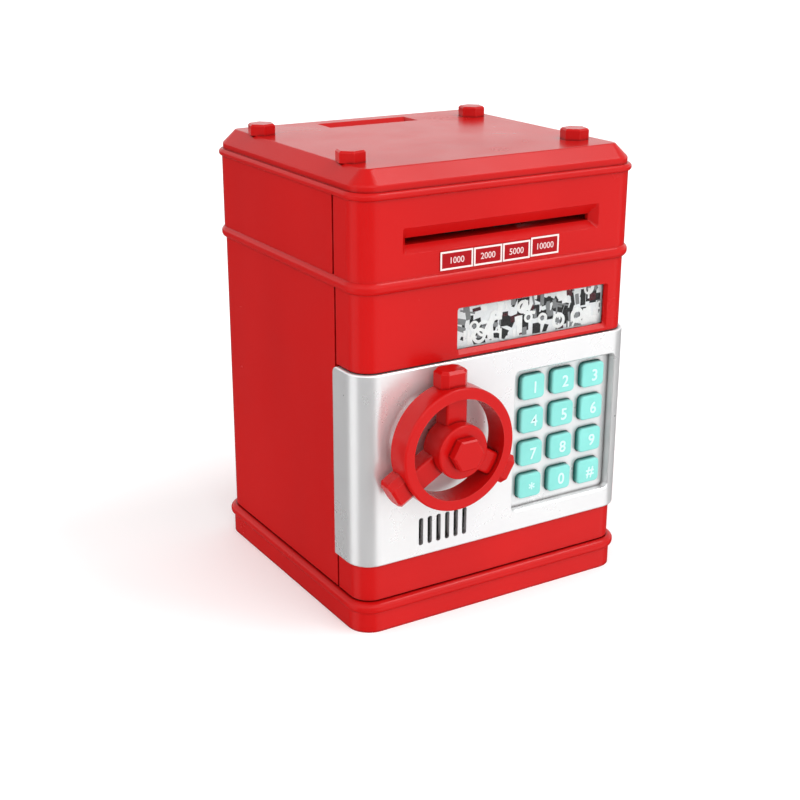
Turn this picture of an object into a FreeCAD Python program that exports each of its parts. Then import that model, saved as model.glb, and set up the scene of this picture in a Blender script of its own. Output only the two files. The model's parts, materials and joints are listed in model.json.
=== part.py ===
import FreeCAD, Part
import math
import os

from FreeCAD import Vector

# Toy cash-machine money box: a moulded case with a banknote feeder and a coin slot,
# and a hinged door that carries a keypad, a handwheel latch and its electronics.
# Millimetres. Origin at the centre of the base, +X right, +Y to the back, +Z up.
# The door is on the -Y side.

# ---- case ----
HALF_W = 64.3            # half width of the lower body
HALF_D = 61.3            # half depth of the lower body
CORNER_R = 8.5
WALL = 2.4
HEADER_PROUD = 0.55      # the header stands this far out from the lower body
SEAM_Y = -42.6           # vertical joint between the front and rear shells
BASE_Z = 13.3            # parting plane between the base tray and the shells
MID_Z = 142.0            # centre of the middle bead
LID_Z = 174.7            # underside of the lid
LID_TOP = 185.5
LID_BEVEL = 5.4
LID_SHOULDER_R = 1.2     # rounding under the lid's bevel
LID_EDGE_R = 0.9         # rounding above it
BASE_OUT = 1.2           # the base band stands this far out from the lower body
BASE_BEAD_OUT = 2.7      # how far each bead stands out
MID_BEAD_OUT = 1.8
LID_BEAD_OUT = 1.8
BASE_BEAD_H = 4.9
MID_BEAD_H = 5.2
LID_BEAD_H = 3.0
GROOVE = 0.7             # depth of the shadow grooves
SEAM_GROOVE = 1.3        # width of the upright groove at the joint
FOOT_GROOVE = 0.5        # height of the groove above the base tray

# ---- door ----
DOOR_Z0, DOOR_Z1 = 29.0, 108.8
DOOR_GAP = 0.4
DOOR_FACE_Y = -62.8
DOOR_HALF_W = 65.9
DOOR_PLATE = 2.0
DOOR_SIDE = 1.8
DOOR_CORNER_R = 10.0
RETURN_CORNER_R = 3.0
DOOR_BACK_Y = DOOR_FACE_Y + DOOR_PLATE
HINGE_X, HINGE_Y = 63.0, -46.0
KNUCKLE_R = 2.9
KNUCKLE_H = 8.2
HINGE_PIN_R = 1.2
RUN_GAP = 0.05           # radial clearance of a shaft that turns in a hole

# ---- keypad ----
PAD_X0, PAD_X1 = 7.0, 57.5
PAD_Z0, PAD_Z1 = 38.0, 98.8
PAD_FLOOR_Y = -58.8
PAD_WALL = 1.6
PAD_LIP = 0.6            # bevel round the mouth of the keypad pan
KEY_X0, KEY_PITCH_X = 16.85, 15.4
KEY_Z0, KEY_PITCH_Z = 90.75, 14.5
KEY_W, KEY_H = 11.4, 10.5
KEY_FACE_Y = -61.5
KEY_NAMES = [["1", "2", "3"], ["4", "5", "6"], ["7", "8", "9"], ["star", "0", "hash"]]

# ---- handwheel ----
WHEEL_X, WHEEL_Z = -29.5, 78.0
RING_RO, RING_RI = 25.0, 20.6
HUB_R = 11.0
LUG_R0, LUG_R1, LUG_W = 23.0, 31.2, 12.0
SPOKE_W = 9.4
SPOKE_ANGLES = [90, 210, 330]
SHAFT_R = 3.0

# ---- door interior ----
COVER_X0, COVER_X1 = -56.0, 56.4
COVER_Z0, COVER_Z1 = 32.0, 105.5
COVER_FRONT_Y, COVER_BACK_Y = -57.0, -41.0
COVER_WALL = 1.6
BATT_X0, BATT_X1 = -2.2, 54.6
BATT_Z0, BATT_Z1 = 44.0, 90.6
BATT_FRONT_Y, BATT_BACK_Y = -51.8, -35.6
BATT_WALL = 1.2
CELL_R, CELL_PITCH = 7.1, 14.6
SCREW_R = 1.2

# ---- banknote feeder ----
SLOT_Z = 157.6
SLOT_HALF_W = 43.0
SLOT_H = 2.7
FEED_Y = -43.4           # plane of the two roller shafts
DRIVE_R, IDLER_R = 5.5, 4.0
ROLL_GAP = 0.3
DRIVE_Z = SLOT_Z + ROLL_GAP / 2 + DRIVE_R
IDLER_Z = SLOT_Z - ROLL_GAP / 2 - IDLER_R
PLATE_X = 47.0           # inner face of the feeder's side plates
PLATE_T = 2.0
FEED_SHAFT_R = 1.5
GEAR_MODULE = 0.6
GEAR_TEETH, PINION_TEETH = 30, 10
GEAR_X, GEAR_T = 50.0, 4.0
GEAR_BACKLASH = 0.12     # added to the gears' centre distance
MOTOR_Y = FEED_Y + GEAR_MODULE * (GEAR_TEETH + PINION_TEETH) / 2 + GEAR_BACKLASH


# ---------------------------------------------------------------- helpers
def box(x0, x1, y0, y1, z0, z1):
    return Part.makeBox(x1 - x0, y1 - y0, z1 - z0, Vector(x0, y0, z0))


def rod_x(y, z, r, x0, x1):
    return Part.makeCylinder(r, x1 - x0, Vector(x0, y, z), Vector(1, 0, 0))


def rod_y(x, z, r, y0, y1):
    return Part.makeCylinder(r, y1 - y0, Vector(x, y0, z), Vector(0, 1, 0))


def rod_z(x, y, r, z0, z1):
    return Part.makeCylinder(r, z1 - z0, Vector(x, y, z0), Vector(0, 0, 1))


def fuse(shapes):
    result = shapes[0].fuse(shapes[1:]) if len(shapes) > 1 else shapes[0]
    return result.removeSplitter()


def upright_edges(shape, axis):
    """Straight edges that run along one axis (0 = X, 1 = Y, 2 = Z)."""
    found = []
    for edge in shape.Edges:
        if len(edge.Vertexes) == 2 and isinstance(edge.Curve, Part.Line):
            step = edge.Vertexes[1].Point - edge.Vertexes[0].Point
            if abs(abs(step[axis]) - step.Length) < 1e-6:
                found.append(edge)
    return found


def edges_at(shape, axis, value):
    """Edges that lie in one plane across an axis."""
    found = []
    for edge in shape.Edges:
        box_ = edge.BoundBox
        low = [box_.XMin, box_.YMin, box_.ZMin][axis]
        high = [box_.XMax, box_.YMax, box_.ZMax][axis]
        if abs(low - value) < 1e-4 and abs(high - value) < 1e-4:
            found.append(edge)
    return found


def rounded_box(x0, x1, y0, y1, z0, z1, r, axis=2):
    """Box with the four edges along one axis rounded."""
    block = box(x0, x1, y0, y1, z0, z1)
    return block.makeFillet(r, upright_edges(block, axis))


def plan_slab(out, z0, z1):
    """Slab with the case's plan outline, grown outwards by a distance."""
    w = HALF_W + out
    d = HALF_D + out
    return rounded_box(-w, w, -d, d, z0, z1, CORNER_R + out)


def bead(out, z0, z1):
    """Half-round band round the case."""
    ring = plan_slab(out, z0, z1)
    edges = edges_at(ring, 2, z0) + edges_at(ring, 2, z1)
    return ring.makeFillet(0.46 * (z1 - z0), edges)


def polygon_prism(points, direction):
    wire = Part.makePolygon(points + [points[0]])
    return Part.Face(wire).extrude(direction)


def hexagon(centre, radius, axis, start=0.0):
    """Corner points of a hexagon whose normal is Y or Z."""
    points = []
    for i in range(6):
        a = math.radians(start + 60 * i)
        if axis == 1:
            step = Vector(radius * math.cos(a), 0, radius * math.sin(a))
        else:
            step = Vector(radius * math.cos(a), radius * math.sin(a), 0)
        points.append(centre + step)
    return points


def frustum(rect0, rect1, plane0, plane1, axis):
    """Tapered block between two rectangles in planes across Y (axis 1) or Z (axis 2)."""
    wires = []
    for (a0, a1, b0, b1), plane in ((rect0, plane0), (rect1, plane1)):
        corners = [(a0, b0), (a1, b0), (a1, b1), (a0, b1)]
        if axis == 1:
            points = [Vector(a, plane, b) for a, b in corners]
        else:
            points = [Vector(a, b, plane) for a, b in corners]
        wires.append(Part.makePolygon(points + [points[0]]))
    return Part.makeLoft(wires, True, True)


def rounded_frustum(rect0, r0, rect1, r1, plane0, plane1):
    """Tapered block with rounded corners between two rectangles in planes across Y."""
    wires = []
    for (x0, x1, z0, z1), r, plane in ((rect0, r0, plane0), (rect1, r1, plane1)):
        block = rounded_box(x0, x1, plane, plane + 1, z0, z1, r, 1)
        face = [f for f in block.Faces if abs(f.BoundBox.YMax - plane) < 1e-6][0]
        wires.append(face.OuterWire)
    return Part.makeLoft(wires, True, True)


def pan_screw_y(x, z, head_y, head_r, head_h, shank_r, length, sign):
    """Screw along Y. The head lies on the side that sign points away from the shank."""
    if sign > 0:
        head = rod_y(x, z, head_r, head_y, head_y + head_h)
        shank = rod_y(x, z, shank_r, head_y - length, head_y)
        recess = rod_y(x, z, head_r * 0.45, head_y + head_h * 0.5, head_y + head_h)
    else:
        head = rod_y(x, z, head_r, head_y - head_h, head_y)
        shank = rod_y(x, z, shank_r, head_y, head_y + length)
        recess = rod_y(x, z, head_r * 0.45, head_y - head_h, head_y - head_h * 0.5)
    return fuse([head, shank]).cut(recess)


def save(name, shape):
    if not shape.isValid():
        print("invalid", name)
    for solid in shape.Solids:
        if solid.Volume <= 0:
            print("empty solid", name)
    shape.exportStep("parts/" + name + ".step")


# ---------------------------------------------------------------- case
BASE_POSTS = [(-54.0, -51.0), (54.0, -51.0), (-54.0, 50.0), (54.0, 50.0)]
POST_R = 4.6
BASE_SCREW_R = 1.5


def base_tray():
    band = plan_slab(BASE_OUT, 0, BASE_Z - BASE_BEAD_H / 2)
    rim = bead(BASE_BEAD_OUT, BASE_Z - BASE_BEAD_H, BASE_Z)
    tray = fuse([band, rim])
    tray = tray.cut(plan_slab(-WALL, WALL, BASE_Z + 1))
    parts = [tray]
    for x, y in BASE_POSTS:
        parts.append(rod_z(x, y, POST_R, WALL / 2, BASE_Z))
    for x in (-30, 0, 30):
        parts.append(box(x - 0.8, x + 0.8, -HALF_D + WALL / 2, HALF_D - WALL / 2, WALL / 2, 5.0))
    tray = fuse(parts)
    for x, y in BASE_POSTS:
        tray = tray.cut(rod_z(x, y, 3.4, -1, 4.0))
        tray = tray.cut(rod_z(x, y, BASE_SCREW_R + 0.2, 3.9, BASE_Z + 1))
    return tray


def base_screws():
    screws = []
    for x, y in BASE_POSTS:
        head = rod_z(x, y, 3.0, 2.0, 4.0)
        shank = rod_z(x, y, BASE_SCREW_R, 4.0, 21.0)
        screw = fuse([head, shank])
        screws.append(screw.cut(rod_z(x, y, 1.3, 1.9, 3.0)))
    return Part.makeCompound(screws)


def case_ring():
    """The whole upright wall of the case, before it is split into two shells."""
    lower = plan_slab(0, BASE_Z, MID_Z)
    header = plan_slab(HEADER_PROUD, MID_Z, LID_Z)
    middle = bead(MID_BEAD_OUT, MID_Z - MID_BEAD_H / 2, MID_Z + MID_BEAD_H / 2)
    ring = fuse([lower, header, middle])
    ring = ring.cut(plan_slab(-WALL, BASE_Z - 1, LID_Z + 1))
    # shadow groove where the shells stand on the base tray
    foot = plan_slab(1, BASE_Z - 1, BASE_Z + FOOT_GROOVE)
    ring = ring.cut(foot.cut(plan_slab(-GROOVE, BASE_Z - 2, BASE_Z + 2)))
    # shadow groove down the joint between the shells, on both sides
    for side in (-1, 1):
        outer = HALF_W * side
        x0, x1 = sorted((outer - side * GROOVE, outer + side * 9))
        low = box(x0, x1, SEAM_Y - SEAM_GROOVE / 2, SEAM_Y + SEAM_GROOVE / 2,
                  BASE_Z - 1, MID_Z - MID_BEAD_H / 2)
        outer = (HALF_W + HEADER_PROUD) * side
        x0, x1 = sorted((outer - side * GROOVE, outer + side * 9))
        high = box(x0, x1, SEAM_Y - SEAM_GROOVE / 2, SEAM_Y + SEAM_GROOVE / 2,
                   MID_Z + MID_BEAD_H / 2, LID_Z + 1)
        ring = ring.cut(low).cut(high)
    return ring


def screw_posts(points, z1):
    posts = []
    for x, y in points:
        post = rod_z(x, y, POST_R, BASE_Z, z1)
        side = 1 if x > 0 else -1
        x0, x1 = sorted((x, side * (HALF_W - WALL / 2)))
        web = box(x0, x1, y - 1, y + 1, BASE_Z, z1)
        posts.append((post, web))
    return posts


STRIKE_BLOCK = (-HALF_W + WALL / 2, -57.0, -36.0, -27.0, 67.0, 89.0)
STRIKE_HOLES_Z = (72.0, 84.0)
STRIKE_HOLE_X = -59.6


def rear_shell(ring):
    shell = ring.common(box(-99, 99, SEAM_Y, 99, 0, 200))
    parts = [shell]
    for post, web in screw_posts(BASE_POSTS[2:], 30.0):
        parts += [post, web]
    parts.append(box(*STRIKE_BLOCK))
    shell = fuse(parts)
    for x, y in BASE_POSTS[2:]:
        shell = shell.cut(rod_z(x, y, BASE_SCREW_R, BASE_Z - 1, 21.0))
    for z in STRIKE_HOLES_Z:
        shell = shell.cut(rod_y(STRIKE_HOLE_X, z, SCREW_R, -36.1, -29.0))
    return shell


WINDOW = (-20.0, 52.5, 112.0, 128.7)
WINDOW_BEVEL = (-20.8, 53.3, 110.4, 129.4)
RECESS = (-46.0, 46.0, 153.5, 163.5)
FEED_TABS = [(-53.0, 150.5), (53.0, 150.5), (-53.0, 166.5), (53.0, 166.5)]
FEED_TAB_Y = -56.6


def front_shell(ring):
    shell = ring.common(box(-99, 99, -99, SEAM_Y, 0, 200))
    z0, z1 = DOOR_Z0 - DOOR_GAP, DOOR_Z1 + DOOR_GAP
    shell = shell.cut(box(-99, 99, -99, SEAM_Y + 1, z0, z1))
    parts = [shell]
    # door jambs join the strip below the door to the wall above it
    inner = HALF_W - WALL
    parts.append(box(-inner, -inner + 2, -55.0, SEAM_Y, 16.0, 120.0))
    parts.append(box(57.9, 59.7, -45.6, SEAM_Y, 16.0, 120.0))
    parts.append(box(59.0, HALF_W - WALL / 2, -45.6, SEAM_Y, 16.0, z0))
    parts.append(box(59.0, HALF_W - WALL / 2, -45.6, SEAM_Y, z1, 120.0))
    # hinge knuckles above and below the door
    parts.append(rod_z(HINGE_X, HINGE_Y, KNUCKLE_R, z0 - KNUCKLE_H, z0))
    parts.append(rod_z(HINGE_X, HINGE_Y, KNUCKLE_R, z1, z1 + KNUCKLE_H))
    for post, web in screw_posts(BASE_POSTS[:2], 25.0):
        parts += [post, web]
    # thick pad behind the banknote slot, and bosses for the feeder
    header_in = -HALF_D + WALL
    parts.append(box(-50, 50, header_in - 1, -56.8, 150.2, 167.0))
    for x, z in FEED_TABS:
        parts.append(rod_y(x, z, 3.0, header_in - 1, FEED_TAB_Y))
    shell = fuse(parts)
    for x, y in BASE_POSTS[:2]:
        shell = shell.cut(rod_z(x, y, BASE_SCREW_R, BASE_Z - 1, 21.0))
    for x, z in FEED_TABS:
        shell = shell.cut(rod_y(x, z, SCREW_R, -60.6, FEED_TAB_Y + 0.1))
    shell = shell.cut(rod_z(HINGE_X, HINGE_Y, HINGE_PIN_R, z0 - KNUCKLE_H + 1, z0 + 1))
    shell = shell.cut(rod_z(HINGE_X, HINGE_Y, HINGE_PIN_R, z1 - 1, z1 + KNUCKLE_H - 1))
    # banknote slot at the bottom of its funnel
    face = -HALF_D - HEADER_PROUD
    mouth = (-SLOT_HALF_W, SLOT_HALF_W, SLOT_Z - SLOT_H / 2, SLOT_Z + SLOT_H / 2)
    shell = shell.cut(rounded_frustum(RECESS, 1.0, mouth, 0.4, face - 0.01, face + 3.4))
    shell = shell.cut(box(mouth[0], mouth[1], face + 3.3, -50, mouth[2], mouth[3]))
    # window with a bevelled frame
    wide = rounded_frustum(WINDOW_BEVEL, 1.2, WINDOW, 0.8, -HALF_D - 0.01, -HALF_D + 1.5)
    shell = shell.cut(wide)
    shell = shell.cut(rounded_box(WINDOW[0], WINDOW[1], -HALF_D + 1, -50,
                                  WINDOW[2], WINDOW[3], 0.8, 1))
    return shell.removeSplitter()


LID_BOLTS = [(x, y) for x in (-54.8, 50.0) for y in (-38.8, 36.2)]
BOLT_R, BOLT_H = 5.9, 4.5
LID_PLATE = 2.6
COIN_SLOT = (-20.0, 20.0, 41.3, 44.7)
COIN_FUNNEL = (-22.0, 22.0, 36.6, 49.0)


def bevelled_slab(out, z0, z1, bevel):
    slab = plan_slab(out, z0, z1)
    return slab.makeChamfer(bevel, edges_at(slab, 2, z1))


def soft_crown():
    """Top of the lid: its bevel runs into the sides and the flat top in soft curves."""
    crown = bevelled_slab(0, LID_Z, LID_TOP, LID_BEVEL)
    crown = crown.makeFillet(LID_SHOULDER_R, edges_at(crown, 2, LID_TOP - LID_BEVEL))
    return crown.makeFillet(LID_EDGE_R, edges_at(crown, 2, LID_TOP))


def top_lid():
    rim = bead(LID_BEAD_OUT, LID_Z, LID_Z + LID_BEAD_H)
    lid = fuse([rim, soft_crown()])
    lid = lid.cut(bevelled_slab(-WALL, LID_Z - 1, LID_TOP - LID_PLATE, 5.0))
    # lip that drops inside the shells
    lip = plan_slab(-WALL, LID_Z - 4.5, LID_Z + 1)
    lip = lip.cut(plan_slab(-WALL - 1.6, LID_Z - 5, LID_Z + 2))
    web = box(-56, 56, -53, -49, 176.5, LID_TOP - 1)
    pads = [rod_z(x, y, 4.5, 179.5, LID_TOP - 1) for x, y in LID_BOLTS]
    floor = box(-29, 29, 33, 53, 181.2, LID_TOP - 1)
    lid = fuse([lid, lip, floor, web.common(bevelled_slab(-WALL, 170, LID_TOP, 5.0))] + pads)
    lid = lid.cut(frustum(COIN_FUNNEL, (-20.6, 20.6, 40.4, 45.6), LID_TOP + 0.01, LID_TOP - 2.4, 2))
    lid = lid.cut(box(*COIN_SLOT, 180, 190))
    for x, y in LID_BOLTS:
        lid = lid.cut(rod_z(x, y, 1.6, 179, 190))
    return lid


def lid_bolts():
    bolts = []
    for x, y in LID_BOLTS:
        points = hexagon(Vector(x, y, LID_TOP), BOLT_R, 2, 15)
        head = polygon_prism(points, Vector(0, 0, BOLT_H))
        head = head.makeChamfer(0.7, edges_at(head, 2, LID_TOP + BOLT_H))
        bolts.append(head.cut(rod_z(x, y, 1.3, LID_TOP - 1, LID_TOP + 3.2)))
    return Part.makeCompound(bolts)


def lid_bolt_screws():
    screws = []
    for x, y in LID_BOLTS:
        head = rod_z(x, y, 2.6, 177.9, 179.5)
        shank = rod_z(x, y, 1.3, 179.5, LID_TOP + 3.2)
        screw = fuse([head, shank])
        screws.append(screw.cut(rod_z(x, y, 1.1, 177.8, 178.7)))
    return Part.makeCompound(screws)


LENS = (-22.0, 54.5, 110.4, 130.5)
LENS_Y = -HALF_D + WALL
LENS_T, LENS_RIM_H, LENS_RIM_W = 1.0, 0.5, 1.2


def window_lens():
    """Clear plate with a low rim behind it that keeps the card off the plate."""
    x0, x1, z0, z1 = LENS
    back = LENS_Y + LENS_T + LENS_RIM_H
    plate = box(x0, x1, LENS_Y, back, z0, z1)
    well = box(x0 + LENS_RIM_W, x1 - LENS_RIM_W, LENS_Y + LENS_T, back + 1,
               z0 + LENS_RIM_W, z1 - LENS_RIM_W)
    return plate.cut(well)


def window_card():
    y0 = LENS_Y + LENS_T + LENS_RIM_H
    return box(LENS[0], LENS[1], y0, y0 + 0.5, LENS[2], LENS[3])


VALUE_LABELS = [(-29.6, -14.8, 145.4, 152.6), (-14.4, -1.3, 145.4, 152.6),
                (-0.9, 12.0, 145.4, 152.6), (12.4, 26.0, 145.7, 153.3)]


def value_labels():
    face = -HALF_D - HEADER_PROUD
    plates = [rounded_box(x0, x1, face - 0.3, face, z0, z1, 0.5, 1)
              for x0, x1, z0, z1 in VALUE_LABELS]
    return Part.makeCompound(plates)


def hinge_pins():
    z0, z1 = DOOR_Z0 - DOOR_GAP, DOOR_Z1 + DOOR_GAP
    lower = rod_z(HINGE_X, HINGE_Y, HINGE_PIN_R, z0 - KNUCKLE_H + 1, DOOR_Z0 + 8)
    upper = rod_z(HINGE_X, HINGE_Y, HINGE_PIN_R, DOOR_Z1 - 8, z1 + KNUCKLE_H - 1)
    return Part.makeCompound([lower, upper])


STRIKE_Y = -36.0
STRIKE_T = 1.5


def strike_plate():
    plate = box(-61.5, -42.0, STRIKE_Y - STRIKE_T, STRIKE_Y, 68.0, 88.0)
    plate = plate.makeFillet(3.0, [e for e in upright_edges(plate, 1)
                                   if e.Vertexes[0].X > -50])
    for z in STRIKE_HOLES_Z:
        plate = plate.cut(rod_y(STRIKE_HOLE_X, z, SCREW_R, STRIKE_Y - 9, STRIKE_Y + 1))
    return plate


def strike_screws():
    screws = [pan_screw_y(STRIKE_HOLE_X, z, STRIKE_Y - STRIKE_T, 1.8, 1.4, SCREW_R, 8.4, -1)
              for z in STRIKE_HOLES_Z]
    return Part.makeCompound(screws)


# ---------------------------------------------------------------- banknote feeder
ROLLER_SPANS = [(-18.5, -4.5), (4.5, 18.5)]
MOTOR_LEN, MOTOR_HALF_FLAT, MOTOR_R = 25.0, 7.5, 10.0


def feeder_frame():
    parts = []
    for side in (-1, 1):
        x0, x1 = sorted((side * PLATE_X, side * (PLATE_X + PLATE_T)))
        parts.append(box(x0, x1, FEED_TAB_Y, -22.0, 147.0, 170.0))
        x0, x1 = sorted((side * PLATE_X, side * 56.5))
        for z in (150.5, 166.5):
            parts.append(box(x0, x1, FEED_TAB_Y, FEED_TAB_Y + 2, z - 3.5, z + 3.5))
    lower = box(-PLATE_X, PLATE_X, FEED_TAB_Y, -34.0, SLOT_Z - 2.7, SLOT_Z - 1.5)
    upper = box(-PLATE_X, PLATE_X, FEED_TAB_Y, -34.0, SLOT_Z + 1.5, SLOT_Z + 2.7)
    brace = box(-PLATE_X, PLATE_X, FEED_TAB_Y, FEED_TAB_Y + 1.2, 168.0, 170.0)
    frame = fuse(parts + [lower, upper, brace])
    for x0, x1 in ROLLER_SPANS:
        frame = frame.cut(box(x0 - 1, x1 + 1, FEED_Y - 6.5, FEED_Y + 6.5, 152, 162))
    # room for the motor behind the guides
    frame = frame.cut(box(19.5, PLATE_X, MOTOR_Y - 8.2, -20, 150, 168))
    for z in (DRIVE_Z, IDLER_Z):
        frame = frame.cut(rod_x(FEED_Y, z, FEED_SHAFT_R + RUN_GAP, -60, 60))
    frame = frame.cut(rod_x(MOTOR_Y, DRIVE_Z, 2.2, 40, 60))
    for x, z in FEED_TABS:
        frame = frame.cut(rod_y(x, z, SCREW_R, FEED_TAB_Y - 1, FEED_TAB_Y + 3))
    return frame


def feeder_screws():
    screws = [pan_screw_y(x, z, FEED_TAB_Y + 2, 2.2, 1.1, SCREW_R, 6.0, 1)
              for x, z in FEED_TABS]
    return Part.makeCompound(screws)


def feed_motor():
    can = rod_x(MOTOR_Y, DRIVE_Z, MOTOR_R, PLATE_X - MOTOR_LEN, PLATE_X)
    flats = box(0, 60, MOTOR_Y - MOTOR_HALF_FLAT, MOTOR_Y + MOTOR_HALF_FLAT, 150, 180)
    can = can.common(flats)
    nose = rod_x(MOTOR_Y, DRIVE_Z, 2.2, PLATE_X - 1, PLATE_X + PLATE_T)
    tail = rod_x(MOTOR_Y, DRIVE_Z, 3.0, PLATE_X - MOTOR_LEN - 2, PLATE_X - MOTOR_LEN + 1)
    body = fuse([can, nose, tail])
    return body.cut(rod_x(MOTOR_Y, DRIVE_Z, 1.0 + RUN_GAP, PLATE_X - 12, 60))


def spur_gear(y, z, teeth, bore, phase):
    """Straight-toothed gear along X; phase is the direction of one tooth in degrees."""
    pitch_r = GEAR_MODULE * teeth / 2
    root_r = pitch_r - 1.15 * GEAR_MODULE
    tip_r = pitch_r + 0.85 * GEAR_MODULE
    step = 360.0 / teeth
    points = []
    for i in range(teeth):
        middle = phase + i * step
        for r, share in ((root_r, -0.29), (pitch_r, -0.19), (tip_r, -0.09),
                         (tip_r, 0.09), (pitch_r, 0.19), (root_r, 0.29)):
            a = math.radians(middle + share * step)
            points.append(Vector(GEAR_X, y + r * math.cos(a), z + r * math.sin(a)))
    gear = polygon_prism(points, Vector(GEAR_T, 0, 0))
    return gear.cut(rod_x(y, z, bore, GEAR_X - 1, GEAR_X + GEAR_T + 1))


def drive_gear():
    return spur_gear(FEED_Y, DRIVE_Z, GEAR_TEETH, FEED_SHAFT_R, 0)


def motor_pinion():
    return spur_gear(MOTOR_Y, DRIVE_Z, PINION_TEETH, 1.0, 180 + 180.0 / PINION_TEETH)


def motor_shaft():
    return rod_x(MOTOR_Y, DRIVE_Z, 1.0, PLATE_X - 10, GEAR_X + GEAR_T + 0.5)


def roller_shaft(z, x1):
    return rod_x(FEED_Y, z, FEED_SHAFT_R, -PLATE_X - PLATE_T - 1.5, x1)


def rollers(z, r):
    tyres = []
    for x0, x1 in ROLLER_SPANS:
        tyre = rod_x(FEED_Y, z, r, x0, x1)
        rims = edges_at(tyre, 0, x0) + edges_at(tyre, 0, x1)
        tyre = tyre.makeChamfer(0.5, rims)
        tyres.append(tyre.cut(rod_x(FEED_Y, z, FEED_SHAFT_R, x0 - 1, x1 + 1)))
    return Part.makeCompound(tyres)


# ---------------------------------------------------------------- door
DOOR_BOSSES = [(-51.8, 36.2), (51.8, 36.2), (-51.8, 101.2), (51.8, 101.2)]
SPEAKER_X, SPEAKER_Z, SPEAKER_R = -27.2, 43.8, 10.0
SPEAKER_SLOTS = [-37.6 + 4.15 * i for i in range(6)]
SPEAKER_SLOT_Z = (33.8, 45.6)
SPEAKER_SLOT_W = 2.1


def key_centre(row, column):
    return KEY_X0 + KEY_PITCH_X * column, KEY_Z0 - KEY_PITCH_Z * row


def door_panel():
    w = DOOR_HALF_W
    outer = rounded_box(-w, w, DOOR_FACE_Y, 0, DOOR_Z0, DOOR_Z1, DOOR_CORNER_R)
    edges = edges_at(outer, 2, DOOR_Z0) + edges_at(outer, 2, DOOR_Z1)
    outer = outer.makeFillet(0.7, edges)
    inner_w = w - DOOR_SIDE
    inner = rounded_box(-inner_w, inner_w, DOOR_BACK_Y, 10, 0, 200, DOOR_CORNER_R - DOOR_SIDE)
    skin = outer.cut(inner)
    left = skin.common(box(-99, 0, -99, SEAM_Y - 0.3, 0, 200))
    # the upper rear corner of the left return is rounded off
    corner_y, corner_z = SEAM_Y - 0.3 - RETURN_CORNER_R, DOOR_Z1 - RETURN_CORNER_R
    corner = box(-99, -50, corner_y, 0, corner_z, 200)
    left = left.cut(corner.cut(rod_x(corner_y, corner_z, RETURN_CORNER_R, -99, -50)))
    right = skin.common(box(0, 99, -99, HINGE_Y, 0, 200))
    parts = [left, right]
    parts.append(rod_z(HINGE_X, HINGE_Y, KNUCKLE_R, DOOR_Z0, DOOR_Z1))
    # rim that the inner cover closes against
    rim = box(COVER_X0, COVER_X1, DOOR_BACK_Y - 0.5, COVER_FRONT_Y, COVER_Z0, COVER_Z1)
    hollow = box(COVER_X0 + COVER_WALL, COVER_X1 - COVER_WALL, -70, -50,
                 COVER_Z0 + COVER_WALL, COVER_Z1 - COVER_WALL)
    parts.append(rim.cut(hollow))
    # keypad pan, shaft bearing and screw bosses
    parts.append(box(PAD_X0 - PAD_WALL, PAD_X1 + PAD_WALL, DOOR_BACK_Y - 0.5,
                     PAD_FLOOR_Y + PAD_WALL, PAD_Z0 - PAD_WALL, PAD_Z1 + PAD_WALL))
    parts.append(rod_y(WHEEL_X, WHEEL_Z, SHAFT_R + 2.4, DOOR_BACK_Y - 0.5, -53.0))
    for x, z in DOOR_BOSSES:
        parts.append(rod_y(x, z, 2.6, DOOR_BACK_Y - 0.5, COVER_BACK_Y - COVER_WALL))
    panel = fuse(parts)
    pan = rounded_box(PAD_X0, PAD_X1, DOOR_FACE_Y - 1, PAD_FLOOR_Y, PAD_Z0, PAD_Z1, 2.0, 1)
    lip = (PAD_X0 - PAD_LIP, PAD_X1 + PAD_LIP, PAD_Z0 - PAD_LIP, PAD_Z1 + PAD_LIP)
    pan_rect = (PAD_X0, PAD_X1, PAD_Z0, PAD_Z1)
    mouth = rounded_frustum(lip, 2.0 + PAD_LIP, pan_rect, 2.0,
                            DOOR_FACE_Y - 0.01, DOOR_FACE_Y + PAD_LIP)
    panel = panel.cut(pan).cut(mouth)
    panel = panel.cut(rod_y(WHEEL_X, WHEEL_Z, SHAFT_R + RUN_GAP, -70, -50))
    panel = panel.cut(rod_z(HINGE_X, HINGE_Y, HINGE_PIN_R + RUN_GAP, 20, DOOR_Z0 + 9))
    panel = panel.cut(rod_z(HINGE_X, HINGE_Y, HINGE_PIN_R + RUN_GAP, DOOR_Z1 - 9, 120))
    for row in range(4):
        for column in range(3):
            x, z = key_centre(row, column)
            hole = rounded_box(x - KEY_W / 2 - 0.3, x + KEY_W / 2 + 0.3, -60, -56,
                               z - KEY_H / 2 - 0.3, z + KEY_H / 2 + 0.3, 2.3, 1)
            panel = panel.cut(hole)
    for x in SPEAKER_SLOTS:
        slot = rounded_box(x - SPEAKER_SLOT_W / 2, x + SPEAKER_SLOT_W / 2, -70, -60,
                           SPEAKER_SLOT_Z[0], SPEAKER_SLOT_Z[1], 0.9, 1)
        panel = panel.cut(slot)
    for x, z in DOOR_BOSSES:
        panel = panel.cut(rod_y(x, z, SCREW_R, -50, -40))
    return panel


def key(row, column):
    x, z = key_centre(row, column)
    cap = rounded_box(x - KEY_W / 2, x + KEY_W / 2, KEY_FACE_Y, -57.0,
                      z - KEY_H / 2, z + KEY_H / 2, 2.0, 1)
    cap = cap.makeFillet(0.7, edges_at(cap, 1, KEY_FACE_Y))
    flange = box(x - KEY_W / 2 - 0.9, x + KEY_W / 2 + 0.9, -57.0, -56.3,
                 z - KEY_H / 2 - 0.9, z + KEY_H / 2 + 0.9)
    return fuse([cap, flange])


MEMBRANE = (6.6, 54.0, 39.3, 97.4)
MEMBRANE_Y = -54.7


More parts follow.
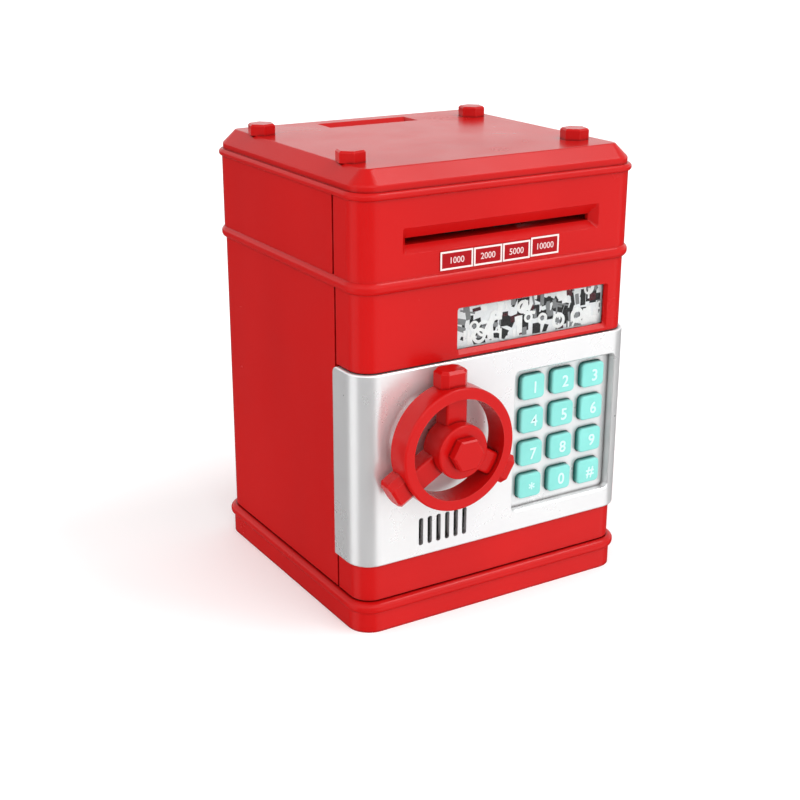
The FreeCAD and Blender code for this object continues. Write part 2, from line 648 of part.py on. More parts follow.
def key_membrane():
    x0, x1, z0, z1 = MEMBRANE
    parts = [box(x0, x1, MEMBRANE_Y, MEMBRANE_Y + 1.0, z0, z1)]
    for row in range(4):
        for column in range(3):
            x, z = key_centre(row, column)
            dome = Part.makeCone(4.0, 2.4, 0.3, Vector(x, MEMBRANE_Y, z), Vector(0, -1, 0))
            parts.append(dome)
    return fuse(parts)


def keypad_board():
    x0, x1, z0, z1 = MEMBRANE
    return box(x0, x1, MEMBRANE_Y + 1.0, MEMBRANE_Y + 2.6, z0, z1)


def speaker():
    basket = rod_y(SPEAKER_X, SPEAKER_Z, SPEAKER_R, DOOR_BACK_Y, -57.4)
    magnet = rod_y(SPEAKER_X, SPEAKER_Z, SPEAKER_R * 0.62, -58.0, -53.4)
    cone = Part.makeCone(8.0, 3.4, 1.8, Vector(SPEAKER_X, DOOR_BACK_Y, SPEAKER_Z), Vector(0, 1, 0))
    return fuse([basket, magnet]).cut(cone)


def main_board():
    board = box(-48.6, -5.0, -50.0, -48.4, 35.0, 61.0)
    chips = [box(-34, -24, -51.6, -49.9, 42, 52), box(-47, -41, -51.2, -49.9, 40, 44),
             box(-16, -10, -51.2, -49.9, 50, 58)]
    can = rod_y(-46, 54, 2.6, -53.0, -49.9)
    return fuse([board, can] + chips)


def door_cover():
    body = box(COVER_X0, COVER_X1, COVER_FRONT_Y, COVER_BACK_Y, COVER_Z0, COVER_Z1)
    body = body.makeFillet(1.5, edges_at(body, 1, COVER_BACK_Y))
    hollow = box(COVER_X0 + COVER_WALL, COVER_X1 - COVER_WALL, COVER_FRONT_Y - 1,
                 COVER_BACK_Y - COVER_WALL, COVER_Z0 + COVER_WALL, COVER_Z1 - COVER_WALL)
    body = body.cut(hollow)
    body = body.cut(box(BATT_X0, BATT_X1, -50, -30, BATT_Z0, BATT_Z1))
    body = body.cut(rod_y(WHEEL_X, WHEEL_Z, SHAFT_R + 0.6, -50, -30))
    for x, z in DOOR_BOSSES:
        body = body.cut(rod_y(x, z, SCREW_R, -50, -30))
    return body


def door_screws():
    screws = [pan_screw_y(x, z, COVER_BACK_Y, 2.4, 1.5, SCREW_R, 8.0, 1)
              for x, z in DOOR_BOSSES]
    return Part.makeCompound(screws)


# ---- batteries ----
CELL_Y = (BATT_FRONT_Y + BATT_WALL + BATT_BACK_Y) / 2
CELL_Z = [(BATT_Z0 + BATT_Z1) / 2 + CELL_PITCH * (i - 1) for i in range(3)]
CELL_X0, CELL_LEN, CELL_NUB = 1.2, 49.2, 1.3
SPRING_END_X = BATT_X0 + BATT_WALL


def battery_holder():
    body = box(BATT_X0, BATT_X1, BATT_FRONT_Y, BATT_BACK_Y, BATT_Z0, BATT_Z1)
    hollow = box(BATT_X0 + BATT_WALL, BATT_X1 - BATT_WALL, BATT_FRONT_Y + BATT_WALL, 0,
                 BATT_Z0 + BATT_WALL, BATT_Z1 - BATT_WALL)
    return body.cut(hollow)


def cell_ends(index):
    """Ends of one cell's body; every second cell is turned round."""
    flipped = index % 2 == 1
    start = CELL_X0 + (CELL_NUB if flipped else 0)
    return flipped, start, start + CELL_LEN - CELL_NUB


def batteries():
    cells = []
    for i, z in enumerate(CELL_Z):
        flipped, x0, x1 = cell_ends(i)
        can = rod_x(CELL_Y, z, CELL_R, x0, x1)
        can = can.makeFillet(0.8, edges_at(can, 0, x0) + edges_at(can, 0, x1))
        nub = rod_x(CELL_Y, z, 2.7, x0 - CELL_NUB, x0 + 1) if flipped else \
            rod_x(CELL_Y, z, 2.7, x1 - 1, x1 + CELL_NUB)
        cells.append(fuse([can, nub]))
    return Part.makeCompound(cells)


def battery_contacts():
    contacts = []
    far_x = BATT_X1 - BATT_WALL
    low_tip = CELL_X0
    high_tip = CELL_X0 + CELL_LEN
    for i, z in enumerate(CELL_Z):
        low = box(SPRING_END_X, SPRING_END_X + 0.4, CELL_Y - 5.5, CELL_Y + 5.5, z - 5.5, z + 5.5)
        high = box(far_x - 0.4, far_x, CELL_Y - 5.5, CELL_Y + 5.5, z - 5.5, z + 5.5)
        low_cone = Part.makeCone(4.5, 2.4, low_tip - SPRING_END_X - 0.4,
                                 Vector(SPRING_END_X + 0.4, CELL_Y, z), Vector(1, 0, 0))
        high_cone = Part.makeCone(4.5, 2.4, far_x - 0.4 - high_tip,
                                  Vector(far_x - 0.4, CELL_Y, z), Vector(-1, 0, 0))
        contacts += [fuse([low, low_cone]), fuse([high, high_cone])]
    return Part.makeCompound(contacts)


def battery_door():
    y0 = BATT_BACK_Y + 0.4
    lid = box(BATT_X0, BATT_X1, y0, y0 + 1.6, BATT_Z0, BATT_Z1)
    lid = lid.makeFillet(0.8, edges_at(lid, 1, y0 + 1.6))
    ribs = [box(BATT_X1 - 7 - 3 * i, BATT_X1 - 5.6 - 3 * i, y0 + 1, y0 + 2.4, 56, 78)
            for i in range(3)]
    return fuse([lid] + ribs)


# ---- lock ----
DISC_R, DISC_Y0, DISC_Y1 = 9.0, -50.5, -47.5
PIN_R = 1.8
PIN_TIP_Z = WHEEL_Z + DISC_R + 0.3
PIN_Y = (DISC_Y0 + DISC_Y1) / 2
SOL_Z0, SOL_Z1 = 91.3, 103.9
SOL_WALL = 1.2
SOL_HALF = 6.0


def solenoid_frame():
    outer = box(WHEEL_X - SOL_HALF, WHEEL_X + SOL_HALF, PIN_Y - 5.4, PIN_Y + 5.4, SOL_Z0, SOL_Z1)
    window = box(WHEEL_X - SOL_HALF + SOL_WALL, WHEEL_X + SOL_HALF - SOL_WALL, -60, -40,
                 SOL_Z0 + SOL_WALL, SOL_Z1 - SOL_WALL)
    return outer.cut(window).cut(rod_z(WHEEL_X, PIN_Y, PIN_R + 0.3, 80, 110))


def solenoid_coil():
    coil = rod_z(WHEEL_X, PIN_Y, 4.6, SOL_Z0 + SOL_WALL, SOL_Z1 - SOL_WALL)
    return coil.cut(rod_z(WHEEL_X, PIN_Y, PIN_R + 0.3, 80, 110))


COLLAR_Z = 88.0


def lock_pin():
    pin = rod_z(WHEEL_X, PIN_Y, PIN_R, PIN_TIP_Z, 101.5)
    collar = rod_z(WHEEL_X, PIN_Y, 3.0, COLLAR_Z, COLLAR_Z + 0.8)
    return fuse([pin, collar])


def lock_spring():
    z0 = COLLAR_Z + 1.0
    z1 = SOL_Z0 - 0.15
    turns = [Part.makeTorus(2.5, 0.25, Vector(WHEEL_X, PIN_Y, z0 + 0.25 + (z1 - z0 - 0.5) * i / 3.0))
             for i in range(4)]
    post = rod_z(WHEEL_X, PIN_Y, 2.65, z0 + 0.2, z1 - 0.2)
    return fuse(turns + [post.cut(rod_z(WHEEL_X, PIN_Y, 2.35, z0, z1))])


def lock_disc():
    disc = rod_y(WHEEL_X, WHEEL_Z, DISC_R, DISC_Y0, DISC_Y1)
    notch = box(WHEEL_X + DISC_R - 2.8, WHEEL_X + DISC_R + 1, -60, -40, WHEEL_Z - 2.3, WHEEL_Z + 2.3)
    hub = rod_y(WHEEL_X, WHEEL_Z, 5.0, DISC_Y1 - 0.5, DISC_Y1 + 3)
    disc = fuse([disc.cut(notch), hub])
    return disc.cut(rod_y(WHEEL_X, WHEEL_Z, SHAFT_R, -60, -40))


CAM_Y0, CAM_Y1 = -35.4, -32.4


def latch_cam():
    hub = rod_y(WHEEL_X, WHEEL_Z, 7.0, CAM_Y0, CAM_Y1)
    arm = box(WHEEL_X - 5, WHEEL_X + 5, CAM_Y0, CAM_Y1, WHEEL_Z, WHEEL_Z + 20)
    arm = arm.makeFillet(3.5, [e for e in upright_edges(arm, 1) if e.Vertexes[0].Z > WHEEL_Z + 10])
    collar = rod_y(WHEEL_X, WHEEL_Z, 5.0, CAM_Y0 - 3.0, CAM_Y0 + 0.5)
    cam = fuse([hub, arm, collar])
    return cam.cut(rod_y(WHEEL_X, WHEEL_Z, SHAFT_R, -60, -30))


def cam_screw():
    return pan_screw_y(WHEEL_X, WHEEL_Z, CAM_Y1, 4.4, 1.6, 1.5, 8.0, 1)


def wheel_shaft():
    shaft = rod_y(WHEEL_X, WHEEL_Z, SHAFT_R, -77.0, CAM_Y1)
    shaft = shaft.cut(rod_y(WHEEL_X, WHEEL_Z, 1.5, CAM_Y1 - 8, CAM_Y1 + 1))
    return shaft.cut(rod_y(WHEEL_X, WHEEL_Z, 1.5, -78, -71.0))


RING_Y0, RING_Y1 = DOOR_FACE_Y - 15.0, DOOR_FACE_Y - 4.0
HUB_Y0, HUB_Y1 = DOOR_FACE_Y - 17.5, DOOR_FACE_Y - 6.0
SPOKE_Y0, SPOKE_Y1 = DOOR_FACE_Y - 12.6, DOOR_FACE_Y - 5.0
LUG_Y0, LUG_Y1 = DOOR_FACE_Y - 12.2, DOOR_FACE_Y - 2.2


def wheel_lug():
    """Grip stub on the outside of the ring, built pointing up."""
    x0, x1 = WHEEL_X - LUG_W / 2, WHEEL_X + LUG_W / 2
    stub = box(x0, x1, LUG_Y0, LUG_Y1, WHEEL_Z + LUG_R0 - 1, WHEEL_Z + LUG_R1)
    stub = stub.makeChamfer(2.3, upright_edges(stub, 2))
    return stub.makeChamfer(1.1, edges_at(stub, 2, WHEEL_Z + LUG_R1))


def wheel_spoke():
    spoke = box(WHEEL_X - SPOKE_W / 2, WHEEL_X + SPOKE_W / 2, SPOKE_Y0, SPOKE_Y1,
                WHEEL_Z + HUB_R - 3, WHEEL_Z + RING_RI + 0.8)
    front = [e for e in upright_edges(spoke, 2) if e.Vertexes[0].Y < SPOKE_Y0 + 0.1]
    return spoke.makeFillet(1.0, front)


def turned(shape, degrees):
    copy = shape.copy()
    copy.rotate(Vector(WHEEL_X, 0, WHEEL_Z), Vector(0, -1, 0), degrees)
    return copy


def handwheel():
    rim = rod_y(WHEEL_X, WHEEL_Z, RING_RO, RING_Y0, RING_Y1)
    rim = rim.makeFillet(0.9, edges_at(rim, 1, RING_Y0) + edges_at(rim, 1, RING_Y1))
    rim = rim.cut(rod_y(WHEEL_X, WHEEL_Z, RING_RI, RING_Y0 - 1, RING_Y1 + 1))
    hub = rod_y(WHEEL_X, WHEEL_Z, HUB_R, HUB_Y0, HUB_Y1)
    hub = hub.makeFillet(0.8, edges_at(hub, 1, HUB_Y0))
    neck = rod_y(WHEEL_X, WHEEL_Z, 6.5, HUB_Y1 - 1, DOOR_FACE_Y - 0.4)
    parts = [rim, hub, neck]
    for angle in SPOKE_ANGLES:
        parts.append(turned(wheel_lug(), angle - 90))
        parts.append(turned(wheel_spoke(), angle - 90))
    wheel = fuse(parts)
    wheel = wheel.cut(rod_y(WHEEL_X, WHEEL_Z, SHAFT_R, -77.0, -60))
    return wheel.cut(rod_y(WHEEL_X, WHEEL_Z, 1.5, -90, -70))


WHEEL_BOLT_R, WHEEL_BOLT_H = 7.0, 4.2


def wheel_bolt():
    points = hexagon(Vector(WHEEL_X, HUB_Y0, WHEEL_Z), WHEEL_BOLT_R, 1)
    head = polygon_prism(points, Vector(0, -WHEEL_BOLT_H, 0))
    head = head.makeChamfer(0.6, edges_at(head, 1, HUB_Y0 - WHEEL_BOLT_H))
    return fuse([head, rod_y(WHEEL_X, WHEEL_Z, 1.5, HUB_Y0 - 1, -71.0)])


# ---------------------------------------------------------------- output
def main():
    os.makedirs("parts", exist_ok=True)
    ring = case_ring()
    save("base_tray", base_tray())
    save("base_screws", base_screws())
    save("rear_shell", rear_shell(ring))
    save("front_shell", front_shell(ring))
    save("top_lid", top_lid())
    save("lid_bolts", lid_bolts())
    save("lid_bolt_screws", lid_bolt_screws())
    save("window_lens", window_lens())
    save("window_card", window_card())
    save("value_labels", value_labels())
    save("hinge_pins", hinge_pins())
    save("strike_plate", strike_plate())
    save("strike_screws", strike_screws())
    save("feeder_frame", feeder_frame())
    save("feeder_screws", feeder_screws())
    save("feed_motor", feed_motor())
    save("motor_pinion", motor_pinion())
    save("motor_shaft", motor_shaft())
    save("drive_gear", drive_gear())
    save("drive_shaft", roller_shaft(DRIVE_Z, GEAR_X + GEAR_T + 0.5))
    save("drive_rollers", rollers(DRIVE_Z, DRIVE_R))
    save("idler_shaft", roller_shaft(IDLER_Z, GEAR_X - 0.4))
    save("idler_rollers", rollers(IDLER_Z, IDLER_R))
    save("door_panel", door_panel())
    save("door_cover", door_cover())
    save("door_screws", door_screws())
    save("key_membrane", key_membrane())
    save("keypad_board", keypad_board())
    save("speaker", speaker())
    save("main_board", main_board())
    save("battery_holder", battery_holder())
    save("batteries", batteries())
    save("battery_contacts", battery_contacts())
    save("battery_door", battery_door())
    save("solenoid_frame", solenoid_frame())
    save("solenoid_coil", solenoid_coil())
    save("lock_pin", lock_pin())
    save("lock_spring", lock_spring())
    save("lock_disc", lock_disc())
    save("latch_cam", latch_cam())
    save("cam_screw", cam_screw())
    save("wheel_shaft", wheel_shaft())
    save("handwheel", handwheel())
    save("wheel_bolt", wheel_bolt())
    for row in range(4):
        for column in range(3):
            save("key_" + KEY_NAMES[row][column], key(row, column))


main()
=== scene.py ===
import json
import math
import random

import bmesh
import bpy
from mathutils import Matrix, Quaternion, Vector


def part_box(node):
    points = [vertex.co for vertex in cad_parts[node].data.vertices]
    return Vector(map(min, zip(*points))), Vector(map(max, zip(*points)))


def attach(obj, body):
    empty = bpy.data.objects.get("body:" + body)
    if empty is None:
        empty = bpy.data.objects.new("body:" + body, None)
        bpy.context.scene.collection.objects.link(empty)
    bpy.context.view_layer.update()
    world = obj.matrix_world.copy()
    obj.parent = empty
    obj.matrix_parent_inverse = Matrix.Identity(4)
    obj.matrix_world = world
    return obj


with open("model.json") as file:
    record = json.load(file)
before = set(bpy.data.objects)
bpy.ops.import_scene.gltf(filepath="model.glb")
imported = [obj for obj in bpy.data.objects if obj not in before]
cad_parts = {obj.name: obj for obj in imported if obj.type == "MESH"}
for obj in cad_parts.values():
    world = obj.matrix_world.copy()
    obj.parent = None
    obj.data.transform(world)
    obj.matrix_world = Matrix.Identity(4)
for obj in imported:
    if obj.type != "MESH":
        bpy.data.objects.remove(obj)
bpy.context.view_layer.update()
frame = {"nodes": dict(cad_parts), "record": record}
nodes = frame["nodes"]
scene = bpy.context.scene


# ---------------------------------------------------------------- node helpers
class Shader:
    """A principled material with short calls for the texture nodes it needs."""

    def __init__(self, name, **values):
        self.material = bpy.data.materials.new(name)
        self.material.use_nodes = True
        self.tree = self.material.node_tree
        self.bsdf = self.tree.nodes["Principled BSDF"]
        for socket, value in values.items():
            self.bsdf.inputs[socket.replace("_", " ")].default_value = value
        self.coordinates = self.tree.nodes.new("ShaderNodeTexCoord").outputs["Object"]

    def node(self, kind, **settings):
        made = self.tree.nodes.new(kind)
        for name, value in settings.items():
            setattr(made, name, value)
        return made

    def link(self, source, target):
        self.tree.links.new(source, target)

    def stretched(self, scale):
        """Object coordinates scaled differently along each axis."""
        mapping = self.node("ShaderNodeMapping")
        mapping.inputs["Scale"].default_value = scale
        self.link(self.coordinates, mapping.inputs["Vector"])
        return mapping.outputs["Vector"]

    def noise(self, scale, detail=3.0, roughness=0.55, vector=None):
        made = self.node("ShaderNodeTexNoise")
        made.inputs["Scale"].default_value = scale
        made.inputs["Detail"].default_value = detail
        made.inputs["Roughness"].default_value = roughness
        self.link(vector or self.coordinates, made.inputs["Vector"])
        return made.outputs["Fac"]

    def voronoi(self, scale, feature="F1"):
        made = self.node("ShaderNodeTexVoronoi", feature=feature)
        made.inputs["Scale"].default_value = scale
        self.link(self.coordinates, made.inputs["Vector"])
        return made.outputs["Distance"]

    def ranged(self, value, low, high, out_low, out_high):
        made = self.node("ShaderNodeMapRange")
        self.link(value, made.inputs["Value"])
        made.inputs["From Min"].default_value = low
        made.inputs["From Max"].default_value = high
        made.inputs["To Min"].default_value = out_low
        made.inputs["To Max"].default_value = out_high
        return made.outputs["Result"]

    def math(self, operation, a, b):
        made = self.node("ShaderNodeMath", operation=operation)
        for slot, value in zip(made.inputs, (a, b)):
            if isinstance(value, (int, float)):
                slot.default_value = value
            else:
                self.link(value, slot)
        return made.outputs[0]

    def mixed(self, factor, a, b):
        """Colour mix; a and b are colours or colour sockets."""
        made = self.node("ShaderNodeMix", data_type="RGBA")
        self.link(factor, made.inputs["Factor"])
        for slot, value in ((made.inputs[6], a), (made.inputs[7], b)):
            if isinstance(value, (tuple, list)):
                slot.default_value = (*value, 1.0)
            else:
                self.link(value, slot)
        return made.outputs[2]

    def colour(self, socket):
        self.link(socket, self.bsdf.inputs["Base Color"])

    def roughness(self, socket):
        self.link(socket, self.bsdf.inputs["Roughness"])

    def bump(self, height, strength, distance):
        """Lifts the surface by a height socket; distance is in metres."""
        made = self.node("ShaderNodeBump")
        made.inputs["Strength"].default_value = strength
        made.inputs["Distance"].default_value = distance
        self.link(height, made.inputs["Height"])
        self.link(made.outputs["Normal"], self.bsdf.inputs["Normal"])

    def edge_wear_and_painted_light(self, spread=0.0006):
        """1 on sharp edges and 0 on flat faces, broken up by noise: a mask for edge wear and for
        painted light on the edges.
        """
        bevel = self.node("ShaderNodeBevel", samples=6)
        bevel.inputs["Radius"].default_value = spread
        geometry = self.node("ShaderNodeNewGeometry")
        dot = self.node("ShaderNodeVectorMath", operation="DOT_PRODUCT")
        self.link(bevel.outputs["Normal"], dot.inputs[0])
        self.link(geometry.outputs["Normal"], dot.inputs[1])
        edge = self.ranged(dot.outputs["Value"], 1.0, 0.86, 0.0, 1.0)
        broken = self.ranged(self.noise(240.0, 4.0), 0.42, 0.62, 0.0, 1.0)
        return self.math("MULTIPLY", edge, broken)

    def painted_crevice_shade(self, colour, dark, reach):
        """Painted shade: darkens grooves, inner corners and faces close to the floor, where shade
        falls.

        reach is how far away, in metres, a surface can be and still darken this one.
        """
        open_sky = self.node("ShaderNodeAmbientOcclusion", samples=6)
        open_sky.inputs["Distance"].default_value = reach
        # Painted shade: the colour is mixed towards the dark colour wherever the AO node finds
        # surfaces nearby.
        return self.mixed(self.ranged(open_sky.outputs["AO"], 0.35, 0.85, 0.0, 1.0), dark, colour)


# ---------------------------------------------------------------- materials
def red_plastic(name):
    """Glossy moulded ABS: slow colour drift, faintly wavy skin and handling haze, sharp edges
    lighter from wear and a painted highlight, and painted shade in grooves and near the floor.
    """
    m = Shader(name, Specular_IOR_Level=0.19)
    drift = m.ranged(m.noise(14.0, 2.0, vector=m.stretched((1, 1, 0.35))), 0.3, 0.7, 0.0, 1.0)
    base = m.mixed(drift, (0.45, 0.0036, 0.0036), (0.52, 0.0048, 0.0045))
    # Sharp edges lighter: edge wear together with a painted highlight.
    worn_and_highlit = m.mixed(m.math("MULTIPLY", m.edge_wear_and_painted_light(), 0.6), base, (0.66, 0.045, 0.040))
    # Painted shade in grooves, seams, inner corners and near the floor.
    m.colour(m.painted_crevice_shade(worn_and_highlit, (0.10, 0.0012, 0.0010), 0.0014))
    haze = m.noise(38.0, 5.0, 0.6)
    m.roughness(m.ranged(haze, 0.3, 0.75, 0.19, 0.29))
    m.bump(m.noise(22.0, 1.0), 0.10, 0.0003)
    return m.material


def silver_paint(name):
    """Satin silver lacquer over plastic, darker at the edges from rubbing and painted shade, with
    painted shade in grooves and inner corners.
    """
    m = Shader(name, Metallic=0.60, Specular_IOR_Level=0.5)
    cloud = m.ranged(m.noise(26.0, 4.0), 0.3, 0.7, 0.0, 1.0)
    base = m.mixed(cloud, (0.78, 0.78, 0.79), (0.82, 0.82, 0.82))
    # Sharp edges darker: edge wear together with painted shade.
    rubbed_and_shaded = m.mixed(m.math("MULTIPLY", m.edge_wear_and_painted_light(0.0004), 0.3), base, (0.62, 0.62, 0.64))
    # Painted shade in grooves, slots and inner corners.
    m.colour(m.painted_crevice_shade(rubbed_and_shaded, (0.10, 0.085, 0.085), 0.0022))
    m.roughness(m.ranged(m.noise(70.0, 4.0), 0.3, 0.7, 0.26, 0.33))
    m.bump(m.noise(30.0, 1.0), 0.06, 0.0002)
    return m.material


def mint_plastic(name):
    """Soft-gloss key plastic, with painted shade that makes it much darker down the sides of the
    keys.
    """
    m = Shader(name, Specular_IOR_Level=0.45, Subsurface_Weight=0.08, Subsurface_Scale=0.001)
    m.bsdf.inputs["Subsurface Radius"].default_value = (0.6, 1.0, 0.9)
    drift = m.ranged(m.noise(90.0, 3.0), 0.3, 0.7, 0.0, 1.0)
    face = m.mixed(drift, (0.195, 0.590, 0.540), (0.225, 0.640, 0.590))
    split = m.node("ShaderNodeSeparateXYZ")
    m.link(m.coordinates, split.inputs[0])
    key_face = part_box("key_1")[0].y
    # Painted shade: darker the further a point lies behind the key face, down the sides of the key.
    depth = m.ranged(split.outputs["Y"], key_face + 0.0004, key_face + 0.0020, 0.0, 1.0)
    # The dark teal is the painted shade colour on the key sides.
    m.colour(m.mixed(depth, face, (0.020, 0.170, 0.150)))
    m.roughness(m.ranged(m.noise(160.0, 4.0), 0.3, 0.7, 0.30, 0.42))
    m.bump(m.noise(1500.0, 2.0), 0.12, 0.00002)
    return m.material


def moulded_plastic(name, colour, roughness=0.5, grain=1400.0, lift=0.15):
    """Matt technical plastic with a spark-eroded grain."""
    m = Shader(name, Specular_IOR_Level=0.4)
    drift = m.ranged(m.noise(60.0, 3.0), 0.3, 0.7, 0.0, 1.0)
    m.colour(m.mixed(drift, tuple(c * 0.9 for c in colour), tuple(min(1, c * 1.08) for c in colour)))
    m.roughness(m.ranged(m.noise(200.0, 3.0), 0.3, 0.7, roughness - 0.07, roughness + 0.07))
    m.bump(m.noise(grain, 3.0), lift, 0.00005)
    return m.material


def steel(name):
    """Zinc-plated steel with fine drawn lines."""
    m = Shader(name, Metallic=1.0, Anisotropic=0.35)
    brushed = m.noise(260.0, 3.0, vector=m.stretched((1.0, 1.0, 9.0)))
    cloud = m.ranged(m.noise(120.0, 4.0), 0.3, 0.7, 0.0, 1.0)
    m.colour(m.mixed(cloud, (0.50, 0.50, 0.51), (0.66, 0.67, 0.69)))
    m.roughness(m.ranged(brushed, 0.25, 0.75, 0.20, 0.40))
    m.bump(brushed, 0.10, 0.00003)
    return m.material


def rubber(name):
    m = Shader(name, Specular_IOR_Level=0.3)
    dust = m.ranged(m.noise(240.0, 5.0), 0.45, 0.75, 0.0, 1.0)
    m.colour(m.mixed(dust, (0.018, 0.018, 0.019), (0.055, 0.054, 0.052)))
    m.roughness(m.ranged(m.noise(320.0, 3.0), 0.3, 0.7, 0.62, 0.82))
    m.bump(m.noise(1800.0, 3.0), 0.2, 0.00004)
    return m.material


def clear_plastic(name):
    """Clear lens, with a lower refractive index than real styrene for weaker reflections."""
    m = Shader(name, Transmission_Weight=1.0, IOR=1.25)
    m.bsdf.inputs["Base Color"].default_value = (0.97, 0.985, 0.985, 1.0)
    m.roughness(m.ranged(m.noise(60.0, 4.0), 0.4, 0.8, 0.01, 0.06))
    return m.material


def paper(name, colour, gloss=0.45, shine=0.25):
    m = Shader(name, Specular_IOR_Level=shine)
    fibre = m.ranged(m.noise(700.0, 5.0), 0.3, 0.7, 0.0, 1.0)
    m.colour(m.mixed(fibre, tuple(c * 0.93 for c in colour), colour))
    m.roughness(m.ranged(m.noise(400.0, 3.0), 0.3, 0.7, gloss - 0.06, gloss + 0.06))
    m.bump(m.noise(1200.0, 4.0), 0.10, 0.00003)
    return m.material


def circuit_board(name):
    """Solder mask over traces, with bare pads."""
    m = Shader(name, Specular_IOR_Level=0.5)
    traces = m.ranged(m.voronoi(520.0, "DISTANCE_TO_EDGE"), 0.0, 0.10, 1.0, 0.0)
    mask = m.mixed(traces, (0.006, 0.085, 0.032), (0.012, 0.16, 0.060))
    pads = m.ranged(m.voronoi(330.0), 0.0, 0.14, 1.0, 0.0)
    m.colour(m.mixed(m.math("GREATER_THAN", pads, 0.5), mask, (0.62, 0.60, 0.52)))
    m.roughness(m.ranged(m.noise(150.0, 3.0), 0.3, 0.7, 0.25, 0.40))
    m.bump(traces, 0.3, 0.00004)
    return m.material


def copper(name):
    m = Shader(name, Metallic=1.0)
    turns = m.node("ShaderNodeTexWave", wave_type="BANDS", bands_direction="Z")
    turns.inputs["Scale"].default_value = 700.0
    m.link(m.coordinates, turns.inputs["Vector"])
    m.colour(m.mixed(turns.outputs["Fac"], (0.30, 0.10, 0.035), (0.72, 0.33, 0.14)))
    m.roughness(m.ranged(turns.outputs["Fac"], 0.0, 1.0, 0.40, 0.26))
    m.bump(turns.outputs["Fac"], 0.5, 0.0001)
    return m.material


RED = red_plastic("red_plastic")
SILVER = silver_paint("silver_paint")
MINT = mint_plastic("mint_plastic")
STEEL = steel("steel")
WHITE = moulded_plastic("white_plastic", (0.74, 0.74, 0.70), 0.45)
GREY = moulded_plastic("grey_plastic", (0.072, 0.075, 0.080), 0.55)
RUBBER = rubber("soft_rubber")
CLEAR = clear_plastic("clear_plastic")
CARD = paper("printed_card", (0.88, 0.89, 0.90))
LABEL_EDGE = paper("label_edge", (0.84, 0.68, 0.66), 0.35)
LABEL_FIGURE = paper("label_figure", (0.76, 0.58, 0.57), 0.35)
LABEL_FILL = paper("label_fill", (0.34, 0.003, 0.007), 0.35, 0.12)
INK_WHITE = paper("ink_white", (0.96, 0.96, 0.95), 0.35)
DIGIT_INK = paper("digit_ink", (0.60, 0.84, 0.82), 0.3)
INK_GREY = paper("ink_grey", (0.24, 0.245, 0.25), 0.35, 0.1)
INK_DARK = paper("ink_dark", (0.010, 0.010, 0.011), 0.5, 0.05)
INK_MAROON = paper("ink_maroon", (0.07, 0.006, 0.012), 0.5, 0.05)
BOARD = circuit_board("circuit_board")
SPEAKER = moulded_plastic("speaker_black", (0.012, 0.012, 0.013), 0.7, 900.0, 0.5)
JACKET = moulded_plastic("battery_jacket", (0.020, 0.060, 0.150), 0.3, 2000.0, 0.04)
COPPER = copper("copper_wire")

SLOT_MATERIALS = {
    "red_plastic": RED, "silver_plastic": SILVER, "mint_plastic": MINT, "steel": STEEL,
    "white_plastic": WHITE, "grey_plastic": GREY, "soft_rubber": RUBBER,
    "clear_plastic": CLEAR, "printed_card": CARD, "printed_label": LABEL_FILL,
    "circuit_board": BOARD, "speaker_black": SPEAKER, "battery_jacket": JACKET,
    "copper_wire": COPPER,
}


def paint(piece, material):
    piece.data.materials.clear()
    piece.data.materials.append(material)


def paint_cad_nodes():
    for entry in frame["record"]["subparts"]:
        paint(nodes[entry["node"]], SLOT_MATERIALS[entry["material_slot"]])


# ---------------------------------------------------------------- mesh helpers
def mesh_piece(name, bm, material, body, smooth=True):
    mesh = bpy.data.meshes.new(name)
    bm.normal_update()
    bm.to_mesh(mesh)
    bm.free()
    piece = bpy.data.objects.new(name, mesh)
    scene.collection.objects.link(piece)
    paint(piece, material)
    if smooth:
        for polygon in mesh.polygons:
            polygon.use_smooth = True
        mesh.set_sharp_from_angle(angle=math.radians(40))
    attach(piece, body)


def bevelled_box(bm, low, high, radius, segments=2):
    """Adds a box with rounded edges to bm; low and high are its corners."""
    made = bmesh.ops.create_cube(bm, size=1.0)["verts"]
    low, high = Vector(low), Vector(high)
    for vert in made:
        vert.co = Vector(low[i] + (vert.co[i] + 0.5) * (high[i] - low[i]) for i in range(3))
    edges = {e for v in made for e in v.link_edges}
    bmesh.ops.bevel(bm, geom=list(edges), offset=radius, segments=segments,
                    profile=0.5, affect="EDGES", clamp_overlap=True)


FONT_SIZE_PER_CAP_HEIGHT = 1.39


def text_mesh(name, words, size, depth, material, body, origin, bold=0.0):
    """Raised characters facing -Y, centred on origin. size is the cap height."""
    curve = bpy.data.curves.new(name + "_curve", "FONT")
    curve.body = words
    curve.align_x = "CENTER"
    curve.align_y = "CENTER"
    curve.size = size * FONT_SIZE_PER_CAP_HEIGHT
    curve.extrude = depth / 2
    curve.bevel_depth = depth * 0.18
    curve.bevel_resolution = 1
    curve.offset = bold
    curve.resolution_u = 4
    carrier = bpy.data.objects.new(name + "_carrier", curve)
    scene.collection.objects.link(carrier)
    carrier.rotation_euler = (math.pi / 2, 0, 0)
    carrier.location = origin
    bpy.context.view_layer.update()
    mesh = bpy.data.meshes.new_from_object(
        carrier.evaluated_get(bpy.context.evaluated_depsgraph_get()))
    mesh.transform(carrier.matrix_world)
    bpy.data.objects.remove(carrier)
    bpy.data.curves.remove(curve)
    mesh.name = name
    piece = bpy.data.objects.new(name, mesh)
    scene.collection.objects.link(piece)
    paint(piece, material)
    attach(piece, body)


# ---------------------------------------------------------------- keys
KEY_MARKS = {"key_star": "*", "key_hash": "#"}
DIGIT_HEIGHT = 0.0050
DIGIT_SHIFT = 0.0008        # right of the middle of the key
DIGIT_DROP = 0.0005         # below the middle of the key
STAR_DROP = 0.0012          # the star is drawn high in its line


